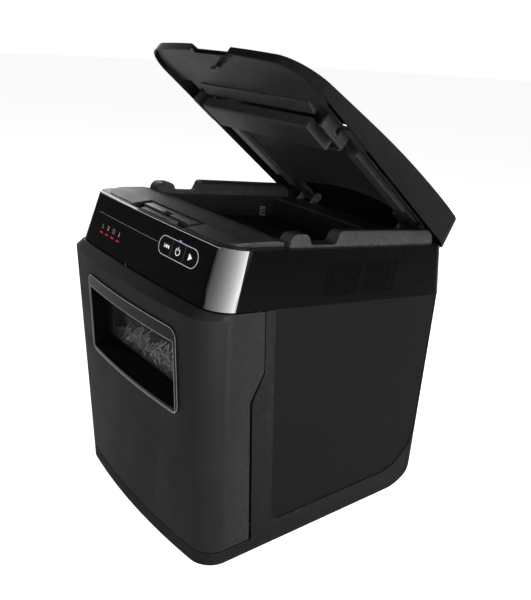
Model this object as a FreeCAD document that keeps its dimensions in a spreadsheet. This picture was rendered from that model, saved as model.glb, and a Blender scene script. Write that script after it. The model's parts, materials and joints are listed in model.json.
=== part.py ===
import FreeCAD, Part
import math
import os
import re
import Sketcher
from FreeCAD import Placement, Rotation, Vector

# Paper shredder with an automatic feed tray under a hinged lid and a pull-out bin.
# Origin: middle of the footprint, on the surface it stands on. +X right, -Y front, +Z up.
# The head is tilted, so that its deck falls towards the rear, and its pieces are drawn in a head
# frame whose XY plane is the deck. The lid's pieces are drawn in a lid frame at the hinge axis.

DOC = FreeCAD.newDocument("paper_shredder")
SHEET = DOC.addObject("Spreadsheet::Sheet", "sizes")

DIMENSIONS = {
    # casing
    "base_half_width": 184.0, "seam_half_width": 195.0, "top_half_width": 190.0,
    "base_front": -220.0, "chin_front": -234.0, "chin_height": 360.0,
    "base_rear": 206.0, "seam_rear": 204.0, "base_underside": 4.0, "sill_top": 24.0,
    "front_bow": 14.0, "front_radius": 36.0, "rear_radius": 22.0, "heel_radius": 62.0,
    "wall": 3.0, "gap": 0.3,
    # head frame
    "head_tilt": 6.5, "deck_height": 435.9, "band_height": 74.3, "band_bow": 6.0,
    "band_front_bottom": -208.0, "band_front_top": -191.5, "band_rear_bottom": 213.8,
    "band_rear_top": 201.3, "deck_thick": 3.0,
    # drawer split on the side walls
    "split_top": -158.0, "split_bottom": -133.0, "wing_depth": 22.0, "wing_low": 250.0,
    "wing_high": 290.0, "split_clearance": 1.6,
    "low_clearance": 4.0, "sill_gap": 2.6,
    # bin
    "tub_half_width": 165.0, "tub_front": -196.0, "tub_rear": 150.0, "tub_floor": 32.0,
    "tub_top": 288.0, "tub_wall": 2.5, "runner_length": 293.0,
    "window_left": -114.0, "window_right": 138.0, "window_low": 226.0, "window_high": 350.0,
    # feet
    "foot_radius": 14.0, "foot_x": 135.0, "foot_front_y": -138.0,
    "foot_rear_y": 130.0, "screw_radius": 2.0, "screw_head": 4.0,
    # tray and cutters, in the head frame
    "tray_half_width": 153.0, "tray_front": -84.0, "tray_rear": 140.0, "tray_depth": 34.0,
    "throat_y": -20.0, "throat_half_length": 115.0, "throat_width": 8.0,
    "cutter_spacing": 36.0, "cutter_z": -86.0, "core_radius": 10.0, "disc_radius": 21.0,
    "disc_thick": 3.0, "disc_pitch": 8.0, "disc_count": 27, "shaft_radius": 6.0,
    "plate_x": 126.0, "plate_thick": 3.0, "running": 0.05,
    "roller_core": 9.0, "tyre_radius": 14.0, "tyre_length": 44.0, "tyre_x": 18.0,
    "cutter_module": 2.0, "feed_module": 1.5, "cutter_teeth": 18, "drive_teeth": 40,
    "idler_small_teeth": 13, "idler_large_teeth": 50, "pinion_teeth": 12,
    "feed_teeth": 36, "roller_teeth": 29, "motor_radius": 30.0,
    # lid frame
    "hinge_y": 200.0, "hinge_z": 424.0, "lid_rest_tilt": 40.0, "lid_half_width": 187.0,
    "lid_front": -391.0, "lid_rear": 22.0, "lid_rim": -9.5, "lid_wall": 2.5, "lid_bow": 12.0,
    "lid_front_radius": 56.0, "lid_rear_radius": 24.0, "hinge_pin_radius": 3.0,
    # controls
    "capsule_x": 89.0, "capsule_length": 88.0, "capsule_width": 22.0, "key_travel": 0.6,
}


def fill_sheet():
    for row, (alias, number) in enumerate(DIMENSIONS.items(), start=1):
        SHEET.set(f"A{row}", alias.replace("_", " "))
        SHEET.set(f"B{row}", str(number))
        SHEET.setAlias(f"B{row}", alias)
    DOC.recompute()


fill_sheet()


def size(alias):
    return float(SHEET.get(alias))


def bound(text):
    """An expression in which each alias names its cell of the sheet."""
    return re.sub(r"[a-z_]{3,}", lambda word: "sizes." + word.group(0)
                  if word.group(0) in DIMENSIONS else word.group(0), str(text))


def number(text):
    return float(SHEET.evalExpression(bound(text)))


ABOUT_X = Vector(1, 0, 0)
TILT = size("head_tilt")
WORLD = Placement()
HEAD = Placement(Vector(0, 0, size("deck_height")), Rotation(ABOUT_X, -TILT))
LID = Placement(Vector(0, size("hinge_y"), size("hinge_z")),
                Rotation(ABOUT_X, -size("lid_rest_tilt")))
SEAM_Z = -size("band_height")
PANEL_SLOPE = math.degrees(math.atan2(size("band_height"),
                                      size("band_front_top") - size("band_front_bottom")))
PANEL_MIDDLE_Z = -26.0
PANEL_MIDDLE_Y = (size("band_front_top")
                  + PANEL_MIDDLE_Z / math.tan(math.radians(PANEL_SLOPE)))
PANEL = HEAD * Placement(Vector(0, PANEL_MIDDLE_Y, PANEL_MIDDLE_Z), Rotation(ABOUT_X, PANEL_SLOPE))
HINGE_IN_HEAD = HEAD.inverse().multVec(LID.Base)
PANEL_SHARE = 1 + PANEL_MIDDLE_Z / size("band_height")
PANEL_HALF_WIDTH = (size("seam_half_width")
                    + (size("top_half_width") - size("seam_half_width")) * PANEL_SHARE)
PANEL_ARC = (PANEL_HALF_WIDTH ** 2 + size("band_bow") ** 2) / (2 * size("band_bow"))


def panel_depth(x):
    """How far the bowed panel lies behind its middle at a distance to the side."""
    return math.sin(math.radians(PANEL_SLOPE)) * x ** 2 / (2 * PANEL_ARC)


KEYS_TURN = math.degrees(math.sin(math.radians(PANEL_SLOPE)) * size("capsule_x") / PANEL_ARC)
KEYS = PANEL * Placement(Vector(size("capsule_x"), 0, -panel_depth(size("capsule_x"))),
                         Rotation(Vector(0, 1, 0), KEYS_TURN))

NODES = []


def keep(piece, frame=WORLD):
    """Marks a document object as a sub-part and puts it in its frame."""
    piece.Placement = frame
    NODES.append(piece)
    return piece


def feature(label, shape, frame=WORLD):
    """A sub-part whose shape is made in code from the sheet's sizes."""
    piece = DOC.addObject("Part::Feature", label)
    piece.Label = label
    piece.Shape = shape
    return keep(piece, frame)


# ---------------------------------------------------------------- outlines and solids in code

def rounded_wire(corners, place):
    """A closed wire through (a, b, radius) corners; place turns (a, b) into a point."""
    count = len(corners)
    ends = []
    for index in range(count):
        a, b, radius = corners[index]
        here = Vector(a, b, 0)
        before = (Vector(corners[index - 1][0], corners[index - 1][1], 0) - here).normalize()
        after_corner = corners[(index + 1) % count]
        after = (Vector(after_corner[0], after_corner[1], 0) - here).normalize()
        if radius <= 0:
            ends.append((here, here, here))
            continue
        half = before.getAngle(after) / 2
        reach = radius / math.tan(half)
        inward = (before + after).normalize()
        middle = here + inward * (radius / math.sin(half) - radius)
        ends.append((here + before * reach, middle, here + after * reach))
    edges = []
    for index in range(count):
        start, middle, end = ends[index]
        if corners[index][2] > 0:
            edges.append(Part.Arc(place(start), place(middle), place(end)).toShape())
        following = ends[(index + 1) % count][0]
        if end.distanceToPoint(following) > 1e-6:
            edges.append(Part.LineSegment(place(end), place(following)).toShape())
    return Part.Wire(edges)


def side_prism(corners, low_x, high_x):
    """A prism along X on a (y, z, radius) outline."""
    wire = rounded_wire(corners, lambda p: Vector(low_x, p.x, p.y))
    return Part.Face(wire).extrude(Vector(high_x - low_x, 0, 0))


def flat_prism(corners, low_z, high_z):
    """A prism along Z on an (x, y, radius) outline."""
    wire = rounded_wire(corners, lambda p: Vector(p.x, p.y, low_z))
    return Part.Face(wire).extrude(Vector(0, 0, high_z - low_z))


def front_prism(corners, low_y, high_y):
    """A prism along Y on an (x, z, radius) outline."""
    wire = rounded_wire(corners, lambda p: Vector(p.x, low_y, p.y))
    return Part.Face(wire).extrude(Vector(0, high_y - low_y, 0))


def block(low, high):
    spans = Vector(*high) - Vector(*low)
    return Part.makeBox(spans.x, spans.y, spans.z, Vector(*low))


def rod(radius, low_x, high_x, y, z):
    """A cylinder along X."""
    return Part.makeCylinder(radius, high_x - low_x, Vector(low_x, y, z), ABOUT_X)


def plan_wire(half_width, front, rear, bow, front_radius, rear_radius, z):
    """A plan outline: a bowed front that runs tangent into round corners, straight sides and rear."""
    front_arc = (half_width ** 2 + bow ** 2) / (2 * bow)
    arc_y = front + front_arc
    corner_x = half_width - front_radius
    corner_y = arc_y - math.sqrt((front_arc - front_radius) ** 2 - corner_x ** 2)
    stretch = front_arc / (front_arc - front_radius)
    touch = Vector(corner_x * stretch, arc_y + (corner_y - arc_y) * stretch, z)
    lean = math.atan2(touch.y - corner_y, touch.x - corner_x)
    mid_corner = Vector(corner_x + front_radius * math.cos(lean / 2),
                        corner_y + front_radius * math.sin(lean / 2), z)
    side_front = Vector(half_width, corner_y, z)
    side_rear = Vector(half_width, rear - rear_radius, z)
    diagonal = rear_radius * math.sqrt(0.5)
    mid_rear = Vector(half_width - rear_radius + diagonal, rear - rear_radius + diagonal, z)
    rear_end = Vector(half_width - rear_radius, rear, z)

    def left(point):
        return Vector(-point.x, point.y, point.z)

    edges = [
        Part.Arc(left(touch), Vector(0, front, z), touch),
        Part.Arc(touch, mid_corner, side_front),
        Part.LineSegment(side_front, side_rear),
        Part.Arc(side_rear, mid_rear, rear_end),
        Part.LineSegment(rear_end, left(rear_end)),
        Part.Arc(left(rear_end), left(mid_rear), left(side_rear)),
        Part.LineSegment(left(side_rear), left(side_front)),
        Part.Arc(left(side_front), left(mid_corner), left(touch)),
    ]
    return Part.Wire([edge.toShape() for edge in edges])


def loft(*wires):
    return Part.makeLoft(list(wires), True, True)


def fuse(shapes):
    return shapes[0].multiFuse(shapes[1:]).removeSplitter() if len(shapes) > 1 else shapes[0]


def mirrored(shape):
    return shape.mirror(Vector(0, 0, 0), ABOUT_X)


def in_frame(shape, frame):
    moved = shape.copy()
    moved.Placement = frame.multiply(moved.Placement)
    return moved


# ---------------------------------------------------------------- document pieces bound to the sheet

def set_sizes(piece, sizes):
    for name, text in sizes.items():
        piece.setExpression(name, bound(text))


def place(piece, x="0", y="0", z="0", turn=None):
    """Puts a primitive at a point whose coordinates follow the sheet."""
    if turn is not None:
        piece.Placement = Placement(Vector(number(x), number(y), number(z)), turn)
    for axis, text in zip("xyz", (x, y, z)):
        piece.setExpression(f"Placement.Base.{axis}", bound(text))
    return piece


ALONG_X = Rotation(Vector(0, 1, 0), 90)


def cylinder(name, radius, length, x="0", y="0", z="0", turn=ALONG_X):
    piece = DOC.addObject("Part::Cylinder", name)
    set_sizes(piece, {"Radius": radius, "Height": length})
    return place(piece, x, y, z, turn)


def box(name, spans, x="0", y="0", z="0"):
    piece = DOC.addObject("Part::Box", name)
    set_sizes(piece, dict(zip(("Length", "Width", "Height"), spans)))
    return place(piece, x, y, z)


def joined(label, pieces, frame=WORLD):
    piece = DOC.addObject("Part::MultiFuse", label)
    piece.Label = label
    piece.Shapes = pieces
    return keep(piece, frame)


def group(label, pieces, frame=WORLD):
    """Several separate solids in one sub-part, for identical small items."""
    piece = DOC.addObject("Part::Compound", label)
    piece.Label = label
    piece.Links = pieces
    return keep(piece, frame)


def framed(name, pieces, frame):
    """Pieces put together in a frame of their own, as a share of a larger sub-part."""
    holder = DOC.addObject("Part::Compound", name)
    holder.Links = pieces
    holder.Placement = frame
    return holder


def origin_feature(body, role):
    return next(item for item in body.Origin.OriginFeatures if item.Role == role)


def new_body(label):
    body = DOC.addObject("PartDesign::Body", label)
    body.Label = label
    return body


def polygon_sketch(body, name, plane, corners):
    """A sketch whose every corner (a, b) is held by constraints that follow the sheet."""
    sketch = body.newObject("Sketcher::SketchObject", name)
    sketch.AttachmentSupport = (origin_feature(body, plane), [""])
    sketch.MapMode = "FlatFace"
    points = [Vector(number(a), number(b), 0) for a, b in corners]
    count = len(points)
    for index in range(count):
        sketch.addGeometry(Part.LineSegment(points[index], points[(index + 1) % count]), False)
    for index in range(count):
        sketch.addConstraint(Sketcher.Constraint("Coincident", index, 2, (index + 1) % count, 1))
    for index, pair in enumerate(corners):
        for axis, text, reading in zip("XY", pair, (points[index].x, points[index].y)):
            if abs(reading) < 1e-9:
                line = -2 if axis == "X" else -1
                sketch.addConstraint(Sketcher.Constraint("PointOnObject", index, 1, line))
                continue
            held = sketch.addConstraint(
                Sketcher.Constraint("Distance" + axis, -1, 1, index, 1, reading))
            sketch.renameConstraint(held, f"corner{index}{axis}")
            sketch.setExpression(f"Constraints.corner{index}{axis}", bound(text))
    return sketch


def circle_sketch(body, name, plane, radius):
    sketch = body.newObject("Sketcher::SketchObject", name)
    sketch.AttachmentSupport = (origin_feature(body, plane), [""])
    sketch.MapMode = "FlatFace"
    sketch.addGeometry(Part.Circle(Vector(0, 0, 0), Vector(0, 0, 1), number(radius)), False)
    sketch.addConstraint(Sketcher.Constraint("Coincident", 0, 3, -1, 1))
    held = sketch.addConstraint(Sketcher.Constraint("Radius", 0, number(radius)))
    sketch.renameConstraint(held, "round")
    sketch.setExpression("Constraints.round", bound(radius))
    return sketch


# ---------------------------------------------------------------- gears

def involute_gear(teeth, module, low_x, high_x, y, z, phase, bore):
    """A spur gear along X; phase is the angle of one tooth's middle, from +Y towards +Z."""
    pitch_radius = teeth * module / 2
    base_radius = pitch_radius * math.cos(math.radians(20))
    tip_radius = pitch_radius + 0.95 * module
    root_radius = pitch_radius - 1.2 * module
    backlash = 0.06 * module / pitch_radius
    start_radius = max(base_radius, root_radius + 0.01)

    def spread(radius):
        angle = math.acos(min(1.0, base_radius / radius))
        return math.tan(angle) - angle

    half_tooth = math.pi / (2 * teeth) + spread(pitch_radius) - backlash
    steps = 5
    flank = []
    for step in range(steps):
        radius = start_radius + (tip_radius - start_radius) * step / (steps - 1)
        flank.append((radius, half_tooth - spread(radius)))
    points = []
    for tooth in range(teeth):
        middle = phase + 2 * math.pi * tooth / teeth
        points.append((root_radius, middle - flank[0][1] - 0.01))
        points.extend((radius, middle - offset) for radius, offset in flank)
        points.extend((radius, middle + offset) for radius, offset in reversed(flank))
        points.append((root_radius, middle + flank[0][1] + 0.01))
    corners = [Vector(low_x, y + r * math.cos(a), z + r * math.sin(a)) for r, a in points]
    outline = Part.makePolygon(corners + [corners[0]])
    gear = Part.Face(outline).extrude(Vector(high_x - low_x, 0, 0))
    return gear.cut(rod(bore, low_x - 1, high_x + 1, y, z)) if bore > 0 else gear


def meshed_phase(first, second, first_teeth, second_teeth, first_phase):
    """The phase that sets the second gear's gap on the first gear's tooth."""
    toward = math.atan2(second[1] - first[1], second[0] - first[0])
    return (toward + math.pi - first_teeth / second_teeth * (first_phase - toward)
            - math.pi / second_teeth)


# ---------------------------------------------------------------- casing volumes

def hull_wire(z, inset):
    """The cabinet's plan outline at a height."""
    lift = z / size("chin_height")
    half_width = size("base_half_width") + (size("seam_half_width")
                                            - size("base_half_width")) * lift
    front = size("base_front") + (size("chin_front") - size("base_front")) * lift
    rear = size("base_rear") + (size("seam_rear") - size("base_rear")) * lift
    return plan_wire(half_width - inset, front + inset, rear - inset, size("front_bow"),
                     size("front_radius") - inset, size("rear_radius") - inset, z)


def hull(inset, low_z, high_z=430.0):
    """The cabinet's tapering volume with its round heel at the rear."""
    volume = loft(hull_wire(low_z, inset), hull_wire(high_z, inset))
    heel = side_prism([(-300, low_z, 0), (size("base_rear") - inset, low_z,
                                          size("heel_radius") - inset),
                       (size("base_rear") - inset, high_z, 0), (-300, high_z, 0)], -260, 260)
    return volume.common(heel)


def below_seam(drop):
    """All of the space under a plane that lies below the head's seam."""
    space = block((-300, -300, SEAM_Z - 500), (300, 300, SEAM_Z - drop))
    return in_frame(space, HEAD)


def split_y(z):
    """Where the drawer's side seam lies at a height."""
    share = z / 383.0
    return size("split_bottom") + (size("split_top") - size("split_bottom")) * share


def drawer_space(clearance, low_clearance):
    """The drawer front's room in side view: the leaning seam with its wing near the top."""
    wing = size("wing_depth")
    low, high = size("wing_low"), size("wing_high")
    floor = size("sill_top") + size("sill_gap") - clearance
    corners = [
        (-300, floor, 0),
        (split_y(floor) + low_clearance, floor, 0),
        (split_y(low) + low_clearance, low - clearance, 14),
        (split_y(high) + wing + clearance, high - clearance, 18),
        (split_y(420) + wing + clearance, 420, 0),
        (-300, 420, 0),
    ]
    return side_prism(corners, -300, 300)


def chin_volume(inset):
    """A flared volume under the head that bevels the drawer front's top edge."""
    seam_front = size("band_front_bottom") - 1.0
    wires = []
    for drop, out, wide in ((-8, 0, 0), (0, 0, 0), (20, 24, 4), (460, 300, 60)):
        wires.append(plan_wire(size("seam_half_width") + wide - inset, seam_front - out + inset,
                               size("band_rear_bottom") + 40 + out, size("band_bow") + out * 0.3,
                               size("front_radius") - inset, size("rear_radius"), SEAM_Z - drop))
    return in_frame(loft(*wires), HEAD)


def band_wire(share, inset):
    """The head band's outline; share is 0 at the seam and 1 at the deck."""
    half_width = size("seam_half_width") + (size("top_half_width")
                                            - size("seam_half_width")) * share
    front = size("band_front_bottom") + (size("band_front_top")
                                         - size("band_front_bottom")) * share
    rear = size("band_rear_bottom") + (size("band_rear_top") - size("band_rear_bottom")) * share
    return plan_wire(half_width - inset, front + inset, rear - inset, size("band_bow"),
                     size("front_radius") - inset, size("rear_radius") - inset,
                     SEAM_Z * (1 - share))


# ---------------------------------------------------------------- cabinet

def make_cabinet():
    wall = size("wall")
    outer = hull(0.0, size("base_underside"))
    inner = hull(wall, size("base_underside") + wall)
    drawer = drawer_space(size("split_clearance"), size("low_clearance"))
    shell = outer.cut(inner).common(below_seam(0.4)).cut(drawer)
    panel = side_prism([(-97, 42, 18), (190, 42, 70), (190, 420, 0), (-122, 420, 0)], 170, 300)
    side_room = fuse([block((165.2, -300, 0), (300, 300, 430)),
                      block((110.2, -300, 0), (200, -150, 60))])
    recess = panel.common(outer.cut(hull(1.2, size("base_underside") - 1)))
    right = shell.common(side_room).cut(recess)
    middle = shell.cut(side_room.fuse(mirrored(side_room)))
    low = block((-165, -300, 0), (165, 300, 70))
    base = middle.common(low)
    foot_holes = [Part.makeCylinder(2.2, 20, Vector(x, y, 0))
                  for x in (-size("foot_x"), size("foot_x"))
                  for y in (size("foot_front_y"), size("foot_rear_y"))]
    base = base.cut(foot_holes[0].multiFuse(foot_holes[1:]))
    rear = middle.common(block((-164.8, 100, 70.3), (164.8, 300, 430)))
    inlet_hole = block((-148, 150, 92), (-120, 260, 112))
    rocker_hole = block((-92.2, 150, 88.8), (-69.8, 260, 115.2))
    feature("right_side_shell", right)
    feature("left_side_shell", mirrored(right))
    feature("base_tray", base)
    feature("rear_panel", rear.cut(inlet_hole).cut(rocker_hole))

    spots = [(x, y) for x in ("-foot_x", "foot_x") for y in ("foot_front_y", "foot_rear_y")]
    feet = []
    screws = []
    for index, (x, y) in enumerate(spots):
        foot = DOC.addObject("Part::Cone", f"foot{index}")
        set_sizes(foot, {"Radius1": "foot_radius - 2", "Radius2": "foot_radius",
                         "Height": "base_underside"})
        feet.append(place(foot, x, y, "0"))
        screws.append(cylinder(f"foot_screw{index}", "screw_radius", "wall + 1", x, y,
                               "base_underside + 0.1", Rotation()))
    for index, (x, z) in enumerate((("-150", "150"), ("150", "150"), ("-150", "300"),
                                    ("150", "300"))):
        screws.append(cylinder(f"rear_screw{index}", "screw_radius * 1.5", "1.4", x, "205.2", z,
                               Rotation(ABOUT_X, -90)))
    group("rubber_feet", feet)
    group("casing_screws", screws)
    rails = [box(f"runner{index}", ("8", "runner_length", "tub_floor - base_underside - wall - 0.4"),
                 x, "-150", "base_underside + wall + 0.1")
             for index, x in enumerate(("-160", "152"))]
    group("drawer_runners", rails)


# ---------------------------------------------------------------- bin

def make_bin():
    wall = size("wall")
    outer = hull(0.0, size("base_underside")).common(chin_volume(0.0))
    inner = hull(wall, size("base_underside") - 2).common(chin_volume(wall))
    front = outer.cut(inner).common(below_seam(1.6)).common(drawer_space(0.0, 0.0))
    left, right = size("window_left"), size("window_right")
    low, high = size("window_low"), size("window_high")

    def frame_outline(grow, radius):
        return [(left - grow, low - grow, radius), (right + grow, low - grow, radius),
                (right + grow, high + grow, radius), (left - grow, high + grow, radius)]

    opening = front_prism(frame_outline(-3, 12), -300, -190)
    tub_face = size("tub_front") - 0.1
    bosses = [boss.common(hull(1.0, 5)) for boss in screw_rods(5.0, -240, tub_face)]
    front = front.fuse(bosses).removeSplitter()
    front = front.cut(screw_rods(size("screw_radius") + 0.05, size("tub_front") - 11, 0))
    feature("bin_fascia", front.cut(opening))

    def follow_front(low_inset, high_inset):
        return hull(low_inset, 0).cut(hull(high_inset, 0))

    rim = front_prism(frame_outline(0, 15), -300, -190)
    glass_opening = front_prism([(left + 14, low + 22, 8), (right - 14, low + 22, 8),
                                 (right - 14, high - 24, 8), (left + 14, high - 24, 8)], -300, -180)
    lip = follow_front(-2.0, -0.2).common(rim)
    sleeve = front_prism(frame_outline(-3.4, 12), -300, -202).common(hull(-0.5, 0))
    mouth = side_prism([(-300, low + 4, 0), (-226, low + 8, 0), (-205, low + 22, 0),
                        (-205, high - 24, 0), (-222, high - 20, 0), (-300, high - 20, 0)],
                       left + 8, right - 8)
    bezel = sleeve.fuse(lip.common(rim)).cut(mouth).cut(glass_opening)
    feature("window_bezel", bezel.removeSplitter())
    window = front_prism([(left + 8, low + 12, 4), (right - 8, low + 12, 4),
                          (right - 8, high - 14, 4), (left + 8, high - 14, 4)], -201.7, -199.7)
    feature("bin_window", window)

    half, rear = size("tub_half_width"), size("tub_rear")
    floor, top, thin = size("tub_floor"), size("tub_top"), size("tub_wall")
    tub_front = size("tub_front")
    taper = 4.0
    body = loft(rectangle_wire(half - taper, tub_front, rear - taper, floor),
                rectangle_wire(half, tub_front, rear, top))
    room = loft(rectangle_wire(half - taper - thin, tub_front + thin, rear - taper - thin,
                               floor + thin),
                rectangle_wire(half - thin, tub_front + thin, rear - thin, top + 1))
    front_wall = block((-half, tub_front, floor), (half, tub_front + thin, high + 4))
    tub = body.cut(room).fuse(front_wall).cut(
        block((left + 12, -260, low + 16), (right - 12, -180, high - 18)))
    tub = tub.cut(screw_rods(size("screw_radius") + 0.2, -220, tub_front + 5))
    feature("bin_tub", tub.removeSplitter())
    feature("paper_shreds", heap_of_shreds(0).cut(heap_of_shreds(4)))
    screws = []
    for index, (x, z) in enumerate(SCREW_SPOTS):
        shank = cylinder(f"fascia_shank{index}", "screw_radius", "14", x, "tub_front - 10", z,
                         Rotation(ABOUT_X, -90))
        head = cylinder(f"fascia_head{index}", "screw_head", "2", x,
                        "tub_front + tub_wall + 0.1", z, Rotation(ABOUT_X, -90))
        screw = DOC.addObject("Part::Fuse", f"fascia_screw{index}")
        screw.Base = shank
        screw.Tool = head
        screws.append(screw)
    group("fascia_screws", screws)


SCREW_SPOTS = (("-140", "200"), ("145", "200"), ("-120", "60"), ("120", "60"))


def screw_rods(radius, low_y, high_y):
    """Rods along Y at the places where screws hold the tub to its front."""
    return [Part.makeCylinder(radius, high_y - low_y, Vector(float(x), low_y, float(z)),
                              Vector(0, 1, 0)) for x, z in SCREW_SPOTS]


def heap_of_shreds(inset):
    """The heap of strips behind the window; strips lie loose, so only its skin is solid."""
    low = size("tub_floor") + size("tub_wall") + 0.3 + inset
    levels = ((152, -188, -70, low), (156, -190, -62, 215), (146, -189, -74, 268 - inset),
              (96, -176, -100, 284 - inset))
    return loft(*[rectangle_wire(half_width - inset, front + inset, rear - inset, z)
                  for half_width, front, rear, z in levels])


def rectangle_wire(half_width, front, rear, z):
    corners = [(-half_width, front), (half_width, front), (half_width, rear), (-half_width, rear)]
    points = [Vector(x, y, z) for x, y in corners]
    return Part.makePolygon(points + [points[0]])


# ---------------------------------------------------------------- head casing

def make_head():
    outer = loft(band_wire(0, 0), band_wire(1, 0))
    inner = loft(band_wire(-0.1, size("wall")), band_wire(1.1, size("wall")))
    ring = outer.cut(inner)
    front_side = [(-300, 9, 0), (-158.5, 9, 0), (-174, -84, 0), (-300, -84, 0)]
    front_room = side_prism(front_side, -300, 300)
    rest_room = side_prism([(-158.2, 9, 0), (300, 9, 0), (300, -84, 0), (-173.7, -84, 0)],
                           -300, 300)
    slits = []
    for group_start in (-29.0, 43.0):
        for slit in range(12):
            y = group_start + 5.3 * slit
            slit_shape = side_prism([(y - 6, -62, 0), (y - 4.6, -62, 0), (y + 1.4, -17, 0),
                                     (y, -17, 0)], -300, 300)
            slits.append(slit_shape)
    band = ring.common(rest_room).cut(Part.makeCompound(slits))
    feature("head_band", band, HEAD)

    panel = ring.common(front_room)
    back = in_frame(panel, HEAD)
    local = in_frame(back, PANEL.inverse())
    capsule = in_frame(capsule_prism(0.0), PANEL.inverse() * KEYS)
    lights = [block((x - 4.7, -28.0, -9), (x + 4.7, -25.4, 9)) for x in LIGHT_X]
    power_light = block((size("capsule_x") - 3.2, 12.6, -9), (size("capsule_x") + 3.2, 14.8, 9))
    local = local.cut(fuse([capsule, power_light] + lights))
    feature("control_panel", local, PANEL)

    deck_outline = band_wire(1, size("wall") + size("gap"))
    deck = Part.Face(deck_outline).extrude(Vector(0, 0, -size("deck_thick")))
    dome_side = side_prism([(-181, -1, 0), (-181, 0.4, 0), (-150, 5.5, 60), (-108, 7, 60),
                            (-84.3, 3, 0), (-84.3, -1, 0)], -172, 172)
    dome_plan = flat_prism([(-172, -60, 0), (-172, -178, 34), (172, -178, 34), (172, -60, 0)],
                           -2, 12)
    post_room = block((156, -94, -2), (200, -60, 30))
    dome = dome_side.common(dome_plan).cut(post_room).cut(mirrored(post_room))
    pan = block((-76, -185.5, -12), (76, -145, -1)).cut(block((-74, -183.6, -10.5), (74, -147, 9)))
    well = Part.makeCylinder(7.0, 13, SPRING_FOOT + Vector(0, 0, -1.5))
    well_room = Part.makeCylinder(5.5, 20, SPRING_FOOT)
    pan_room = block((-74, -183.6, -10.5), (74, -147, 9)).fuse(well_room)
    tray_room = block((-size("tray_half_width") - 0.2, size("tray_front") - 0.2, -5),
                      (size("tray_half_width") + 0.2, size("tray_rear") + 0.2, 12))
    top = fuse([deck, dome]).cut(tray_room).fuse([pan, well]).cut(pan_room)
    feature("top_deck", top.removeSplitter(), HEAD)

    profile = [(-92, 0.05, 0), (-92, 17, 12), (-62, 17, 10), (-57, 3.5, 4), (-14, 3.5, 5),
               (-8, 21, 7), (168, 21, 10), (178, 12, 6), (178, 0.05, 0)]
    section = front_prism([(158, 0, 0), (160, 17, 4), (166, 21.5, 5), (179.5, 21.5, 3), (181.5, 0, 0)],
                          -100, 190)
    ridge = side_prism(profile, 157, 184).common(section)
    feature("side_ridges", Part.makeCompound([ridge, mirrored(ridge)]), HEAD)

    button = flat_prism([(-40, -182.8, 2), (40, -182.8, 2), (46, -171.4, 2), (-46, -171.4, 2)],
                        -6.5, 1.6)
    feature("latch_button", button, HEAD)
    strike = side_prism([(-166, -10.4, 0), (-166, 3, 2), (-150, 4.6, 2), (-150, -10.4, 0)],
                        -62, 62).cut(block((-10, -170, -11), (10, -157.5, 9)))
    feature("latch_strike", strike, HEAD)
    feature("latch_spring", coil(4.0, 0.45, 6, 14.3, SPRING_FOOT + Vector(0, 0, 0.6)), HEAD)

    ears = []
    axis = HINGE_IN_HEAD
    for low_x in (100, 136):
        ear = side_prism([(183, 0.05, 0), (196.8, 0.05, 0), (206, 7, 3), (195, 17, 3)],
                         low_x, low_x + 4).fuse(rod(7.5, low_x, low_x + 4, axis.y, axis.z))
        ear = ear.cut(rod(size("hinge_pin_radius"), low_x - 1, low_x + 5, axis.y, axis.z))
        ears.extend([ear, mirrored(ear)])
    feature("hinge_brackets", Part.makeCompound(ears), HEAD)
    pins = [cylinder(f"hinge_pin{index}", "hinge_pin_radius", "40", x, str(axis.y), str(axis.z))
            for index, x in enumerate(("100", "-140"))]
    group("hinge_pins", pins, HEAD)


SPRING_FOOT = Vector(0, -177, -22)
LIGHT_X = (-118.0, -99.5, -81.0, -62.5)


def capsule_prism(shrink, low=-12.0, high=12.0):
    """The keys' capsule opening in the keys' own frame."""
    half_width = size("capsule_width") / 2 - shrink
    half_length = size("capsule_length") / 2 - shrink
    turn = half_width - 0.01
    return flat_prism([(-half_length, -half_width, turn), (half_length, -half_width, turn),
                       (half_length, half_width, turn), (-half_length, half_width, turn)], low, high)


def coil(radius, wire, turns, height, at):
    """A helical compression spring along Z, of eight-sided wire."""
    helix = Part.makeHelix(height / turns, height, radius)
    corners = []
    for index in range(9):
        turn = math.radians(45 * index)
        corners.append(Vector(radius + wire * math.cos(turn), 0, wire * math.sin(turn)))
    section = Part.makePolygon(corners)
    spring = Part.Wire(helix).makePipeShell([section], True, True)
    spring.translate(at)
    return spring


def make_controls():
    third = size("capsule_length") / 3
    start = -size("capsule_length") / 2
    whole = capsule_prism(0.35, -4.5, -0.35)
    for index, name in enumerate(("reverse_key", "power_key", "forward_key")):
        low_x = start + index * third + 0.2
        high_x = start + (index + 1) * third - 0.2
        cap = whole.common(block((low_x, -20, -5), (high_x, 20, 0)))
        stem = Part.makeCylinder(2.0, 7.0, Vector((low_x + high_x) / 2, 0, -11.5))
        feature(name, cap.fuse(stem), KEYS)

    pipe_foot, below_face = 10.5, 0.3

    def light_pipe(name, x, y, length, width):
        height = pipe_foot - panel_depth(x) - below_face
        return box(name, (str(length), str(width), str(height)), str(x - length / 2), str(y),
                   str(-pipe_foot))

    pipes = [light_pipe(f"light_pipe{index}", x, -27.8, 9, 2.2) for index, x in enumerate(LIGHT_X)]
    pipes.append(light_pipe("power_lamp", size("capsule_x"), 12.8, 6, 1.8))
    group("status_lights", pipes, PANEL)

    key_board = framed("key_board", [box("key_plate", ("104", "34", "1.6"), "-52", "-17", "-14")],
                       KEYS)
    light_board = framed("light_board", [box("light_plate", ("70", "16", "1.6"), "-125", "-34",
                                             "-14")], PANEL)
    board = box("power_plate", ("110", "40", "1.6"), "20", "148", "-30")
    parts = [box(f"power_component{index}", (str(18 + 4 * index), "16", str(12 + 3 * index)),
                 str(26 + 34 * index), "158", "-28.4") for index in range(3)]
    group("circuit_boards", [key_board, light_board, framed("power_board", [board] + parts, HEAD)])


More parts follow.
